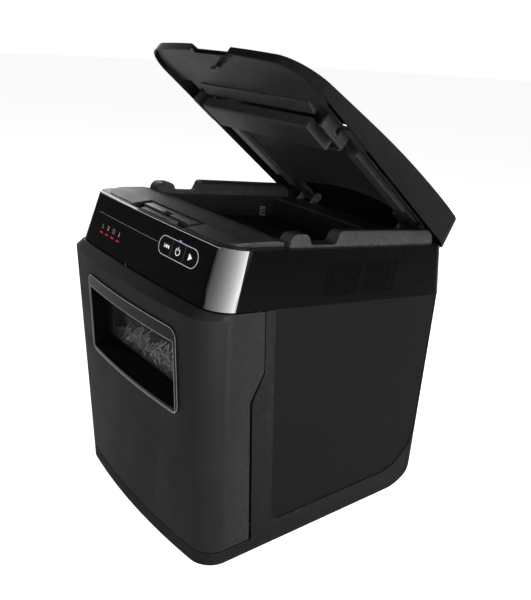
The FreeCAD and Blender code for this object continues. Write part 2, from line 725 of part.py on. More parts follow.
# ---------------------------------------------------------------- tray, cutters and drive

SHAFT_A = (size("throat_y") - size("cutter_spacing") / 2, size("cutter_z"))
SHAFT_B = (size("throat_y") + size("cutter_spacing") / 2, size("cutter_z"))
FEED_REACH = (size("feed_teeth") + size("roller_teeth")) * size("feed_module") / 2
FEED_STEP = 28.0
FEED_RISE = math.sqrt(FEED_REACH ** 2 - FEED_STEP ** 2)
ROLLER_FRONT = (SHAFT_A[0] - FEED_STEP, SHAFT_A[1] + FEED_RISE)
ROLLER_REAR = (SHAFT_B[0] + FEED_STEP, SHAFT_B[1] + FEED_RISE)
IDLER_REACH = (size("drive_teeth") + size("idler_small_teeth")) * size("cutter_module") / 2
IDLER_DROP = 4.0
IDLER = (SHAFT_B[0] + math.sqrt(IDLER_REACH ** 2 - IDLER_DROP ** 2), SHAFT_B[1] - IDLER_DROP)
MOTOR_REACH = (size("idler_large_teeth") + size("pinion_teeth")) * size("feed_module") / 2
MOTOR_RISE = 15.0
MOTOR = (IDLER[0] + math.sqrt(MOTOR_REACH ** 2 - MOTOR_RISE ** 2), IDLER[1] + MOTOR_RISE)


def make_tray():
    half, front, rear = size("tray_half_width"), size("tray_front"), size("tray_rear")
    deep = size("tray_depth")
    tray = block((-half - 2, front - 2, -deep - 2), (half + 2, rear + 2, -3.2)).cut(
        block((-half, front, -deep), (half, rear, 9)))
    slot_half = size("throat_width") / 2
    throat = size("throat_y")
    long_half = size("throat_half_length")
    openings = [block((-long_half, throat - slot_half, -deep - 5),
                      (long_half, throat + slot_half, 0))]
    for roller_y, _ in (ROLLER_FRONT, ROLLER_REAR):
        for low_x in (16, -64):
            openings.append(block((low_x, roller_y - 16, -deep - 5), (low_x + 48, roller_y + 16, 0)))
    feature("paper_tray", tray.cut(fuse(openings)), HEAD)
    guides = []
    for low_y in (throat - slot_half - 2, throat + slot_half):
        guides.append(block((-long_half, low_y, -64), (long_half, low_y + 2, -deep - 2.05)))
    feature("throat_guides", Part.makeCompound(guides), HEAD)


def stub(body, name, radius, start, length):
    """A round length of shaft from a start along the body's Z axis."""
    sketch = circle_sketch(body, name + "_circle", "XY_Plane", radius)
    sketch.setExpression("AttachmentOffset.Base.z", bound(start))
    pad = body.newObject("PartDesign::Pad", name)
    pad.Profile = sketch
    pad.setExpression("Length", bound(length))
    return pad


def along_x(y, z):
    """A place in the head frame whose Z axis runs along +X."""
    return HEAD * Placement(Vector(0, y, z), ALONG_X)


def cutter_shaft(label, shift, left_end, right_end, spot):
    body = new_body(label)
    stub(body, label + "_shaft", "shaft_radius", left_end, f"{right_end} - ({left_end})")
    stub(body, label + "_core", "core_radius", "-115", "230")
    first = f"{shift} - disc_pitch * (disc_count - 1) / 2 - disc_thick / 2"
    disc = stub(body, label + "_disc", "disc_radius", first, "disc_thick")
    DOC.recompute()
    row = body.newObject("PartDesign::LinearPattern", label + "_row")
    row.Originals = [disc]
    row.Direction = (origin_feature(body, "Z_Axis"), [""])
    row.setExpression("Length", bound("disc_pitch * (disc_count - 1)"))
    row.Occurrences = int(size("disc_count"))
    body.Tip = row
    return keep(body, along_x(*spot))


def roller(label, length, spot):
    """A steel roller with two rubber tyres pushed on."""
    body = new_body(label + "_bar")
    stub(body, label + "_ends", "4", "-128", length)
    stub(body, label + "_core", "roller_core", "-118", "236")
    tyres = []
    for index, low in enumerate(("tyre_x", "-tyre_x - tyre_length")):
        sleeve = cylinder(f"{label}_sleeve{index}", "tyre_radius", "tyre_length", "0", "0", low,
                          Rotation())
        bore = cylinder(f"{label}_bore{index}", "roller_core + running", "tyre_length + 2", "0",
                        "0", low + " - 1", Rotation())
        tyre = DOC.addObject("Part::Cut", f"{label}_tyre{index}")
        tyre.Base = sleeve
        tyre.Tool = bore
        tyres.append(tyre)
    group(label, [body] + tyres, along_x(*spot))


def plate(label, x, corners, holes):
    """A steel side plate across X with round holes."""
    body = new_body(label)
    sketch = polygon_sketch(body, label + "_outline", "YZ_Plane", corners)
    pad = body.newObject("PartDesign::Pad", label + "_pad")
    pad.Profile = sketch
    pad.setExpression("Length", bound("plate_thick"))
    pad.Midplane = True
    DOC.recompute()
    before = body.Shape.Volume
    drill = body.newObject("Sketcher::SketchObject", label + "_holes")
    drill.AttachmentSupport = (origin_feature(body, "YZ_Plane"), [""])
    drill.MapMode = "FlatFace"
    for index, (y, z, radius) in enumerate(holes):
        drill.addGeometry(Part.Circle(Vector(y, z, 0), Vector(0, 0, 1), radius), False)
        drill.addConstraint(Sketcher.Constraint("Radius", index, radius))
    pocket = body.newObject("PartDesign::Pocket", label + "_bores")
    pocket.Profile = drill
    pocket.Length = 20
    pocket.Midplane = True
    DOC.recompute()
    if body.Shape.Volume >= before:
        raise RuntimeError(label + " has no holes")
    return keep(body, HEAD * Placement(Vector(x, 0, 0), Rotation()))


TIE_RODS = ((-72.0, -100.0), (40.0, -104.0), (-20.0, -108.0))


def make_cutting_unit():
    bush = 10.0
    roller_bush = 7.0
    shafts = [(y, z, bush) for y, z in (SHAFT_A, SHAFT_B)]
    rollers = [(y, z, roller_bush) for y, z in (ROLLER_FRONT, ROLLER_REAR)]
    rods = [(y, z, 3.0) for y, z in TIE_RODS]
    low, high = "-114", "-37"
    offset = size("plate_x") + size("plate_thick") / 2
    plate("right_cutter_plate", offset, [("-80", low), ("48", low), ("48", high), ("-80", high)],
          shafts + rollers + rods)
    plate("left_cutter_plate", -offset, [("-80", low), ("130", low), ("130", high), ("-80", high)],
          shafts + rollers + rods + [(MOTOR[0], MOTOR[1], 5.0), (IDLER[0], IDLER[1], 3.0)])
    inner = size("plate_x") - 1.0
    outer = size("plate_x") + size("plate_thick")
    bushes = []
    for y, z, radius in shafts + rollers:
        shaft = size("shaft_radius") if radius == bush else 4.0
        ring = rod(radius, inner, outer, y, z).cut(
            rod(shaft + size("running"), inner - 1, outer + 1, y, z))
        bushes.extend([ring, mirrored(ring)])
    feature("bearing_bushes", Part.makeCompound(bushes), HEAD)
    length = "2 * (plate_x + plate_thick)"
    rods = [cylinder(f"tie_rod{index}", "3", length, "-plate_x - plate_thick", str(y), str(z))
            for index, (y, z) in enumerate(TIE_RODS)]
    rods.append(cylinder("idler_rod", "3", "37", "-163", str(IDLER[0]), str(IDLER[1])))
    group("plate_rods", rods, HEAD)

    cutter_shaft("front_cutter", -2, "-133", "162.3", SHAFT_A)
    cutter_shaft("rear_cutter", 2, "-147", "169.8", SHAFT_B)
    roller("front_feed_roller", "290.3", ROLLER_FRONT)
    roller("rear_feed_roller", "297.8", ROLLER_REAR)

    pitch, count = size("disc_pitch"), int(size("disc_count"))
    combs = []
    for (y, z), side, shift in ((SHAFT_A, -1, -2), (SHAFT_B, 1, 2)):
        bar_y = y + side * 27.0
        bar = block((-125.8, min(bar_y, bar_y + side * 5), z - 6),
                    (125.8, max(bar_y, bar_y + side * 5), z + 6))
        fingers = []
        for index in range(count - 1):
            x = shift + pitch * (index - (count - 2) / 2)
            near, far = sorted((y + side * 12.5, bar_y + side * 1))
            fingers.append(block((x - 1.2, near, z - 4), (x + 1.2, far, z + 4)))
        combs.append(fuse([bar] + fingers))
    feature("stripper_combs", Part.makeCompound(combs), HEAD)


def make_drive():
    cutter_module, feed_module = size("cutter_module"), size("feed_module")
    teeth = {name: int(size(name)) for name in (
        "cutter_teeth", "drive_teeth", "idler_small_teeth", "idler_large_teeth", "pinion_teeth",
        "feed_teeth", "roller_teeth")}
    shaft = size("shaft_radius")

    def gear(label, count, module, low_x, thick, spot, phase, bore):
        return feature(label, involute_gear(count, module, low_x, low_x + thick, spot[0], spot[1],
                                            phase, bore), HEAD)

    phase_b = 0.0
    phase_a = meshed_phase(SHAFT_B, SHAFT_A, teeth["cutter_teeth"], teeth["cutter_teeth"], phase_b)
    gear("rear_cutter_gear", teeth["cutter_teeth"], cutter_module, 132, 9, SHAFT_B, phase_b, shaft)
    gear("front_cutter_gear", teeth["cutter_teeth"], cutter_module, 132, 9, SHAFT_A, phase_a, shaft)
    for label, cutter, roller_spot, low_x in (("front", SHAFT_A, ROLLER_FRONT, 156.0),
                                              ("rear", SHAFT_B, ROLLER_REAR, 163.5)):
        gear(label + "_feed_gear", teeth["feed_teeth"], feed_module, low_x, 6, cutter, 0.0, shaft)
        phase = meshed_phase(cutter, roller_spot, teeth["feed_teeth"], teeth["roller_teeth"], 0.0)
        gear(label + "_roller_gear", teeth["roller_teeth"], feed_module, low_x, 6, roller_spot,
             phase, 4.0)
    gear("drive_gear", teeth["drive_teeth"], cutter_module, -145, 9, SHAFT_B, 0.0, shaft)

    small_phase = meshed_phase(SHAFT_B, IDLER, teeth["drive_teeth"], teeth["idler_small_teeth"], 0.0)
    pin = 3.0 + size("running")
    small = involute_gear(teeth["idler_small_teeth"], cutter_module, -146.5, -134.5, IDLER[0],
                          IDLER[1], small_phase, pin)
    large = involute_gear(teeth["idler_large_teeth"], feed_module, -156.5, -148.5, IDLER[0],
                          IDLER[1], 0.0, pin)
    hub = rod(8, -149.0, -146.0, *IDLER).cut(rod(pin, -160, -140, *IDLER))
    feature("idler_gear", fuse([small, large, hub]), HEAD)
    pinion_phase = meshed_phase(IDLER, MOTOR, teeth["idler_large_teeth"], teeth["pinion_teeth"], 0.0)
    pinion = involute_gear(teeth["pinion_teeth"], feed_module, -157.5, -147.5, MOTOR[0], MOTOR[1],
                           pinion_phase, 0)
    feature("motor_shaft", pinion.fuse(rod(3, -160, -98, *MOTOR)), HEAD)

    can = rod(size("motor_radius"), -125.8, -20, *MOTOR)
    cap = rod(12, -20.5, -14, *MOTOR)
    well = rod(3.0 + size("running"), -127, -96, *MOTOR)
    feature("motor_housing", can.fuse(cap).cut(well), HEAD)

    cover = block((-166, -48, -133), (-129.2, 112, -37.5)).cut(
        block((-163.1, -46, -131), (-129, 110, -39.5)))
    feature("gearbox_cover", cover, HEAD)


# ---------------------------------------------------------------- lid

LID_TOP = [(-391.0, 1.0), (-350.0, 5.5), (-300.0, 12.5), (-240.0, 21.0), (-170.0, 29.5),
           (-90.0, 35.5), (-20.0, 38.0), (4.0, 37.5)]
LID_SHOULDER = 22.0


def lid_prism(offset):
    """The lid's side profile, made smaller all round by an offset."""
    rim = size("lid_rim") - (40.0 if offset > 0 else 0.0)
    rear = size("lid_rear") - offset
    top = [Vector(-300, y + (offset if index == 0 else 0), z - offset)
           for index, (y, z) in enumerate(LID_TOP)]
    crown = Part.BSplineCurve()
    crown.interpolate(top)
    shoulder = Vector(-300, rear, LID_SHOULDER - offset)
    turn = Part.Arc(top[-1], Vector(-300, rear - 5.3, 32.5 - offset), shoulder)
    low_rear = Vector(-300, rear, rim)
    low_front = Vector(-300, top[0].y, rim)
    edges = [crown.toShape(), turn.toShape(), Part.makeLine(shoulder, low_rear),
             Part.makeLine(low_rear, low_front), Part.makeLine(low_front, top[0])]
    return Part.Face(Part.Wire(edges)).extrude(Vector(600, 0, 0))


def lid_plan(inset, low_z, high_z):
    def outline(z):
        lean = 7.0 * (z - size("lid_rim")) / 52.0
        return plan_wire(size("lid_half_width") - inset - lean, size("lid_front") + inset,
                         size("lid_rear") - inset, size("lid_bow"),
                         size("lid_front_radius") - inset, size("lid_rear_radius") - inset, z)
    return loft(outline(low_z), outline(high_z))


SLOT_FRONT, SLOT_REAR, SLOT_HALF = -226.0, -216.0, 125.0


def make_lid():
    rim = size("lid_rim")
    thin = size("lid_wall")
    outer = lid_plan(0, rim, 46).common(lid_prism(0))
    inner = lid_plan(thin, rim - 5, 46).common(lid_prism(thin))
    slot = block((-SLOT_HALF, SLOT_FRONT, -5), (SLOT_HALF, SLOT_REAR, 60))
    notch = block((-46, -420, -30), (46, -379, 40))
    feature("lid_shell", outer.cut(inner).cut(slot).cut(notch), LID)

    room = lid_plan(thin + 0.3, rim + 0.5, 40)
    front_plate = side_prism([(-392, -6, 0), (-302, -0.5, 0), (-302, 1.5, 0), (-392, -4, 0)],
                             -190, 190)
    hook = side_prism([(-368, -19.5, 0), (-361, -19.5, 0), (-361, -3.2, 0), (-364.5, -3.2, 0),
                       (-364.5, -14, 0), (-368, -14, 0)], -7, 7)
    feature("lid_front_liner", front_plate.common(room).cut(notch).fuse(hook), LID)

    side_plate = block((128, -302, -0.5), (155.5, -18, 1.5))
    rail = side_prism([(-205, -20, 3), (-84, -20, 10), (-62, -5, 8), (-30, -5, 2), (-30, 0, 0),
                       (-205, 0, 0)], 130, 150)
    knuckle = block((106, -40, -4), (134, 0, 3)).fuse(rod(7, 106, 134, 0, 0))
    cheek = side_prism([(-283, -21, 3), (-232, -21, 3), (-232, 0, 0), (-283, 0, 0)], 146.5, 152)
    cheek = cheek.cut(block((140, -258.2, -17.2), (160, -251.8, -2.8)))
    side = fuse([side_plate.common(room), rail.common(room), knuckle, cheek])
    side = side.cut(rod(size("hinge_pin_radius") + size("running"), 100, 140, 0, 0))
    stop = block((159, -256, -5.5), (179, -214, 0))
    feature("lid_side_liners", Part.makeCompound([side, mirrored(side), stop, mirrored(stop)]), LID)

    vault_rise, vault_half, vault_thick = 16.0, 127.8, 1.6
    vault_front, vault_length = -212.0, 171.0
    vault_radius = (vault_half ** 2 + vault_rise ** 2) / (2 * vault_rise)
    vault_axis = Vector(0, vault_front, 14.0 - vault_radius)
    backward = Vector(0, 1, 0)
    outer_tube = Part.makeCylinder(vault_radius + vault_thick, vault_length, vault_axis, backward)
    vault = outer_tube.cut(Part.makeCylinder(vault_radius, vault_length, vault_axis, backward))
    vault_room = block((-vault_half, vault_front, -3), (vault_half, 0, 30))
    feature("lid_vault", vault.common(vault_room), LID)

    parts = [
        side_prism([(-301.8, -2.6, 0), (-285, -6.6, 0), (-282, -6.6, 0), (-282, 4, 0), (-301.8, 4, 0)],
                   -127.6, 127.6),
        block((-127.6, -301.8, 2), (127.6, -226.2, 4)),
        block((-127.6, -229, -8), (127.6, -226.2, 16)),
        block((-127.6, -215.8, -14), (127.6, -213, 16)),
        block((125.2, -229, -8), (127.6, -213, 16)),
        block((-127.6, -229, -8), (-125.2, -213, 16)),
    ]
    feature("bypass_chute", fuse(parts), LID)
    bar = side_prism([(-279.5, -24, 2), (-276, -26, 2), (-232, -26, 2), (-230.5, -24, 2),
                      (-230.5, -10, 0), (-279.5, -10, 0)], -124, 124).cut(
        block((-121, -277, -23), (121, -233, 0)))
    trunnion = rod(3, 123, 151, -255, -14)
    feature("pressure_bar", bar.fuse([trunnion, mirrored(trunnion)]), LID)
    springs = [coil(4.0, 0.45, 6, 13.0, Vector(x, -255, -12.0)) for x in (-70, 70)]
    feature("bar_springs", Part.makeCompound(springs), LID)


# ---------------------------------------------------------------- rear fittings

def make_rear_fittings():
    inlet = block((-147.7, 182, 92.3), (-120.3, 208.6, 111.7)).cut(
        block((-145, 188, 95), (-123, 210, 109)))
    flange = block((-158, 206.1, 88), (-110, 208.6, 116)).cut(
        block((-145, 200, 95), (-123, 210, 109)))
    contacts = [block((x, 188.1, z), (x + 1.6, 200.1, z + 4))
                for x, z in ((-141, 98), (-128.6, 98), (-134.8, 103))]
    socket = inlet.fuse(flange).removeSplitter()
    feature("power_inlet", Part.makeCompound([socket] + contacts))
    body = block((-92, 186, 89), (-70, 206, 115)).cut(block((-89, 190, 91.5), (-73, 210, 112.5)))
    feature("switch_body", body)
    rocker = rod(10.3, -88.4, -73.6, 202.0, 102.0).common(block((-90, 196, 80), (-70, 220, 120)))
    rocker = rocker.common(block((-90, 194, 91.9), (-70, 208.5, 112.1)))
    rocker.rotate(Vector(0, 202, 102), ABOUT_X, -10)
    feature("rocker_switch", rocker)
    feature("bin_sensor", block((-14, 158, 262), (14, 176, 280)).fuse(
        block((-6, 176, 266), (6, 199.5, 276))))


# ---------------------------------------------------------------- build, check, write

def check_and_write():
    DOC.recompute()
    faults = []
    for item in DOC.Objects:
        if "Invalid" in item.State or "Error" in item.State:
            faults.append(f"{item.Label}: {item.State}")
    for piece in NODES:
        shape = piece.Shape
        if shape.isNull() or not shape.isValid() or not shape.Solids:
            faults.append(f"{piece.Label}: bad shape")
    if faults:
        raise RuntimeError("; ".join(faults))
    os.makedirs("parts", exist_ok=True)
    for piece in NODES:
        piece.Shape.exportStep(f"parts/{piece.Label}.step")
        box_of = piece.Shape.BoundBox
        print(f"{piece.Label:22s} {len(piece.Shape.Solids):3d} solids "
              f"{piece.Shape.Volume / 1000:9.2f} cm3  z {box_of.ZMin:7.1f} to {box_of.ZMax:7.1f}")
    print(len(NODES), "sub-parts")


make_cabinet()
make_bin()
make_head()
make_controls()
make_tray()
make_cutting_unit()
make_drive()
make_lid()
make_rear_fittings()
check_and_write()
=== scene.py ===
import bpy
import bmesh
import json
import math
import random
from mathutils import Matrix, Vector, noise
from mathutils.bvhtree import BVHTree


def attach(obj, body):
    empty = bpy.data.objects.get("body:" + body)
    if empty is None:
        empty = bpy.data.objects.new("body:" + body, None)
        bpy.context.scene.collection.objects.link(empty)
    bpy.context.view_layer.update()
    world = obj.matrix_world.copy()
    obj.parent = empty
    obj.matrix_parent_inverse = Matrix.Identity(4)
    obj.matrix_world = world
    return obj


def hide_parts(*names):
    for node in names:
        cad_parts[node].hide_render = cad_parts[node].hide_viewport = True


# Looks of the paper shredder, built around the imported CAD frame. Blender's lengths are in
# metres; the shapes below are laid out in the CAD's millimetres and scaled by MM.

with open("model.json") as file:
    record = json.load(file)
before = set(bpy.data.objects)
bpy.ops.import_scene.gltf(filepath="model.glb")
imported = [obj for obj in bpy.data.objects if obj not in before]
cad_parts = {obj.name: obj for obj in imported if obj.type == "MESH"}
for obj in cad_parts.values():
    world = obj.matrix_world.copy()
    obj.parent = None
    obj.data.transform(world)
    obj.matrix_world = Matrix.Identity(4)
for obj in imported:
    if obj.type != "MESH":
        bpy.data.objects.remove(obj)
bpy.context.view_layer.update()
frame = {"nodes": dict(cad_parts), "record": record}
NODES = frame["nodes"]
BODY_OF = {node: body for body, nodes in frame["record"]["behaviour"]["bodies"].items()
           for node in nodes}
SLOT_OF = {row["node"]: row["material_slot"] for row in frame["record"]["subparts"]}
MM = 0.001


def turn_x(degrees):
    return Matrix.Rotation(math.radians(degrees), 4, "X")


# The CAD's drawing frames: the tilted head, the bowed front panel on it, and the keys' flat
# plane, which touches the bowed panel at KEYS_X.
HEAD_TOP = 435.9
HEAD_TILT = -6.5
PANEL_DROP = 74.3        # height of the panel's sloping face
PANEL_RUN = 16.5         # how far it leans out over that height
PANEL_MIDDLE = 26.0      # the panel frame's origin, below the panel's top edge
PANEL_TOP_Y = -191.5
PANEL_BOW = 6.0          # the panel's bow over its whole width
TOP_HALF_WIDTH, LOW_HALF_WIDTH = 190.0, 195.0
KEYS_X = 89.0

HEAD = Matrix.Translation((0, 0, HEAD_TOP * MM)) @ turn_x(HEAD_TILT)
PANEL_SLOPE = math.degrees(math.atan2(PANEL_DROP, PANEL_RUN))
PANEL = (HEAD @ Matrix.Translation((0, (PANEL_TOP_Y - PANEL_MIDDLE * PANEL_RUN / PANEL_DROP) * MM,
                                    -PANEL_MIDDLE * MM))
         @ turn_x(PANEL_SLOPE))
PANEL_HALF_WIDTH = (LOW_HALF_WIDTH - (LOW_HALF_WIDTH - TOP_HALF_WIDTH)
                    * (1.0 - PANEL_MIDDLE / PANEL_DROP))
PANEL_ARC = (PANEL_HALF_WIDTH ** 2 + PANEL_BOW ** 2) / (2 * PANEL_BOW)
PANEL_BULGE = math.sin(math.radians(PANEL_SLOPE))


# ---------------------------------------------------------------- materials

def node_tree(name):
    material = bpy.data.materials.new(name)
    material.use_nodes = True
    tree = material.node_tree
    shader = tree.nodes["Principled BSDF"]
    return material, tree, shader


def add(tree, kind, **values):
    node = tree.nodes.new(kind)
    for key, value in values.items():
        if key in node.inputs:
            node.inputs[key].default_value = value
        else:
            setattr(node, key, value)
    return node


def noise_of(tree, coords, scale, detail=3.0, rough=0.5):
    texture = add(tree, "ShaderNodeTexNoise")
    texture.inputs["Scale"].default_value = scale
    texture.inputs["Detail"].default_value = detail
    texture.inputs["Roughness"].default_value = rough
    tree.links.new(coords, texture.inputs["Vector"])
    return texture.outputs["Fac"]


def span(tree, value, low, high, from_low=0.3, from_high=0.7):
    ramp = add(tree, "ShaderNodeMapRange")
    ramp.inputs["From Min"].default_value = from_low
    ramp.inputs["From Max"].default_value = from_high
    ramp.inputs["To Min"].default_value = low
    ramp.inputs["To Max"].default_value = high
    tree.links.new(value, ramp.inputs["Value"])
    return ramp.outputs["Result"]


PATCH_SCALE = 14.0       # noise scale of the broad patches of colour and roughness
WEAR_SCALE = 160.0       # noise scale that breaks up the worn edges
GRAIN_SHARE = 0.02       # how much the fine grain changes the roughness
GRAIN_DEPTH = 0.0004     # depth of the fine grain, in metres
EDGE_LOW, EDGE_HIGH = 0.51, 0.56


def finish_of(name, color, rough, grain=900.0, bump=0.05, spread=0.06, wear=0.02, metal=0.0,
              specular=0.5, tint=0.12, stretch=(1, 1, 1)):
    """A procedural finish: fine grain, patchy roughness and colour, and paler worn edges."""
    material, tree, shader = node_tree(name)
    links = tree.links
    coords = add(tree, "ShaderNodeTexCoord").outputs["Object"]
    mapping = add(tree, "ShaderNodeMapping")
    mapping.inputs["Scale"].default_value = stretch
    links.new(coords, mapping.inputs["Vector"])
    place = mapping.outputs["Vector"]
    fine = noise_of(tree, place, grain, 2.0)
    patches = noise_of(tree, coords, PATCH_SCALE, 4.0, 0.6)

    edge = add(tree, "ShaderNodeNewGeometry").outputs["Pointiness"]
    worn = span(tree, edge, 0.0, 1.0, EDGE_LOW, EDGE_HIGH)
    breakup = span(tree, noise_of(tree, coords, WEAR_SCALE, 4.0, 0.7), 0.2, 1.0, 0.35, 0.65)
    wear_mask = add(tree, "ShaderNodeMath", operation="MULTIPLY")
    links.new(worn, wear_mask.inputs[0])
    links.new(breakup, wear_mask.inputs[1])

    dark = tuple(c * (1 - tint) for c in color)
    pale = tuple(c * (1 + tint) for c in color)
    blend = add(tree, "ShaderNodeMix", data_type="RGBA")
    blend.inputs[6].default_value = (*dark, 1)
    blend.inputs[7].default_value = (*pale, 1)
    links.new(span(tree, patches, 0.0, 1.0), blend.inputs[0])
    edged = add(tree, "ShaderNodeMix", data_type="RGBA")
    edged.inputs[7].default_value = (*[min(1.0, c + wear) for c in color], 1)
    links.new(wear_mask.outputs[0], edged.inputs[0])
    links.new(blend.outputs[2], edged.inputs[6])
    links.new(edged.outputs[2], shader.inputs["Base Color"])

    uneven = add(tree, "ShaderNodeMath", operation="ADD")
    links.new(span(tree, patches, rough - spread, rough + spread), uneven.inputs[0])
    links.new(span(tree, fine, -GRAIN_SHARE, GRAIN_SHARE), uneven.inputs[1])
    links.new(uneven.outputs[0], shader.inputs["Roughness"])
    relief = add(tree, "ShaderNodeBump")
    relief.inputs["Strength"].default_value = bump
    relief.inputs["Distance"].default_value = GRAIN_DEPTH
    links.new(fine, relief.inputs["Height"])
    links.new(relief.outputs["Normal"], shader.inputs["Normal"])
    shader.inputs["Metallic"].default_value = metal
    shader.inputs["Specular IOR Level"].default_value = specular
    return material


FINISHES = {
    "satin_casing": dict(color=(0.0026, 0.0026, 0.0027), rough=0.52, grain=1500, bump=0.10,
                         wear=0.008, specular=0.07),
    "fascia_plastic": dict(color=(0.0080, 0.0080, 0.0083), rough=0.46, grain=1500, bump=0.12,
                           wear=0.010, specular=0.07),
    "gloss_panel": dict(color=(0.0010, 0.0010, 0.0011), rough=0.07, grain=30, bump=0.003,
                        spread=0.02, wear=0.004, specular=0.5, tint=0.05),
    "gloss_band": dict(color=(0.0015, 0.0015, 0.0016), rough=0.15, grain=1200, bump=0.01,
                       spread=0.03, wear=0.003, specular=0.03, tint=0.08),
    "gloss_bezel": dict(color=(0.0015, 0.0015, 0.0016), rough=0.17, grain=40, bump=0.004,
                        spread=0.03, wear=0.004, specular=0.12, tint=0.05),
    "deck_plastic": dict(color=(0.0085, 0.0085, 0.0088), rough=0.42, grain=1400, bump=0.12,
                         wear=0.03, specular=0.22),
    "lid_plastic": dict(color=(0.0028, 0.0028, 0.0029), rough=0.42, grain=1400, bump=0.08,
                        wear=0.006, specular=0.06),
    "liner_plastic": dict(color=(0.0070, 0.0070, 0.0072), rough=0.46, grain=1300, bump=0.08,
                          wear=0.02, specular=0.22),
    "grey_plastic": dict(color=(0.022, 0.022, 0.023), rough=0.33, grain=1400, bump=0.05,
                         wear=0.03, specular=0.35),
    "key_plastic": dict(color=(0.0012, 0.0012, 0.0013), rough=0.09, grain=60, bump=0.003,
                        spread=0.02, wear=0.004, specular=0.5, tint=0.05),
    "tub_plastic": dict(color=(0.006, 0.006, 0.0062), rough=0.5, grain=900, bump=0.10,
                        specular=0.2),
    "slide_plastic": dict(color=(0.07, 0.07, 0.072), rough=0.5, grain=900, bump=0.08),
    "inlet_plastic": dict(color=(0.010, 0.010, 0.010), rough=0.45, grain=1100, bump=0.08,
                          specular=0.3),
    "shredded_paper": dict(color=(0.30, 0.30, 0.31), rough=0.85, grain=2500, bump=0.2, wear=0.05,
                           specular=0.2, tint=0.3),
    "foot_rubber": dict(color=(0.012, 0.012, 0.012), rough=0.8, grain=700, bump=0.2,
                        specular=0.2),
    "roller_rubber": dict(color=(0.045, 0.045, 0.048), rough=0.75, grain=600, bump=0.25,
                          specular=0.3, stretch=(0.1, 1, 1)),
    "screw_steel": dict(color=(0.35, 0.35, 0.36), rough=0.35, metal=1.0, grain=800, bump=0.03),
    "spring_steel": dict(color=(0.45, 0.45, 0.46), rough=0.3, metal=1.0, grain=800, bump=0.02),
    "plate_steel": dict(color=(0.42, 0.42, 0.43), rough=0.38, metal=1.0, grain=300, bump=0.03,
                        stretch=(1, 1, 0.05)),
    "shaft_steel": dict(color=(0.5, 0.5, 0.52), rough=0.25, metal=1.0, grain=900, bump=0.02,
                        stretch=(0.05, 1, 1)),
    "cutter_steel": dict(color=(0.28, 0.28, 0.3), rough=0.33, metal=1.0, grain=500, bump=0.04),
    "gear_steel": dict(color=(0.36, 0.36, 0.37), rough=0.4, metal=1.0, grain=600, bump=0.05),
    "gear_plastic": dict(color=(0.66, 0.64, 0.58), rough=0.42, grain=500, bump=0.03),
    "motor_steel": dict(color=(0.09, 0.09, 0.1), rough=0.4, metal=0.3, grain=500, bump=0.04),
    "bush_brass": dict(color=(0.56, 0.42, 0.2), rough=0.35, metal=1.0, grain=500, bump=0.04),
    "circuit_board": dict(color=(0.03, 0.13, 0.06), rough=0.35, grain=400, bump=0.05),
    "red_lights": dict(color=(0.30, 0.012, 0.012), rough=0.25, grain=200, bump=0.02),
}
MATERIALS = {name: finish_of(name, **values) for name, values in FINISHES.items()}


def make_window():
    """Clear plastic with faint surface scratches."""
    material, tree, shader = node_tree("clear_window")
    coords = add(tree, "ShaderNodeTexCoord").outputs["Object"]
    mapping = add(tree, "ShaderNodeMapping")
    mapping.inputs["Scale"].default_value = (1, 1, 12)
    tree.links.new(coords, mapping.inputs["Vector"])
    scratch = noise_of(tree, mapping.outputs["Vector"], 120.0, 5.0, 0.7)
    tree.links.new(span(tree, scratch, 0.04, 0.12), shader.inputs["Roughness"])
    relief = add(tree, "ShaderNodeBump")
    relief.inputs["Strength"].default_value = 0.02
    relief.inputs["Distance"].default_value = 0.0002
    tree.links.new(scratch, relief.inputs["Height"])
    tree.links.new(relief.outputs["Normal"], shader.inputs["Normal"])
    shader.inputs["Base Color"].default_value = (0.03, 0.03, 0.032, 1)
    shader.inputs["Alpha"].default_value = 0.14
    shader.inputs["IOR"].default_value = 1.49
    return material


MATERIALS["clear_window"] = make_window()


def glowing(name, color, strength):
    """A small lit mark: a tinted base with its own light, slightly uneven; on marks that are no
    lamps this light is painted glow.
    """
    material, tree, shader = node_tree(name)
    coords = add(tree, "ShaderNodeTexCoord").outputs["Object"]
    uneven = noise_of(tree, coords, 400.0, 2.0)
    tree.links.new(span(tree, uneven, 0.25, 0.4), shader.inputs["Roughness"])
    tree.links.new(span(tree, uneven, strength * 0.85, strength * 1.15),
                   shader.inputs["Emission Strength"])
    relief = add(tree, "ShaderNodeBump")
    relief.inputs["Strength"].default_value = 0.03
    relief.inputs["Distance"].default_value = 0.0001
    tree.links.new(uneven, relief.inputs["Height"])
    tree.links.new(relief.outputs["Normal"], shader.inputs["Normal"])
    shader.inputs["Base Color"].default_value = (*color, 1)
    shader.inputs["Emission Color"].default_value = (*color, 1)
    return material


# The white, grey, dim and rose marks are no lamps: their own light is painted glow. On the panel's
# top edge line and the window frame's beads it is a painted highlight. The blue power lamp and the
# red dashes are lamps.
MATERIALS["icon_white_painted_glow"] = glowing("icon_white_painted_glow", (0.62, 0.63, 0.65), 0.55)
MATERIALS["grey_painted_glow"] = glowing("grey_painted_glow", (0.42, 0.42, 0.44), 0.5)
MATERIALS["dim_line_painted_glow"] = glowing("dim_line_painted_glow", (0.16, 0.16, 0.17), 0.5)
MATERIALS["rose_painted_glow"] = glowing("rose_painted_glow", (0.30, 0.24, 0.24), 0.35)
MATERIALS["icon_red"] = glowing("icon_red", (0.42, 0.006, 0.010), 0.5)
MATERIALS["icon_blue"] = glowing("icon_blue", (0.03, 0.20, 0.55), 0.9)


def dress(piece, slot, material=None):
    piece.data.materials.clear()
    piece.data.materials.append(material or MATERIALS[slot])


# ---------------------------------------------------------------- pieces

def link(piece):
    bpy.context.scene.collection.objects.link(piece)
    return piece


# Pieces whose large face surrounds an opening: merged into one polygon it would cross the hole.
KEPT_TRIANGLES = {"top_deck"}


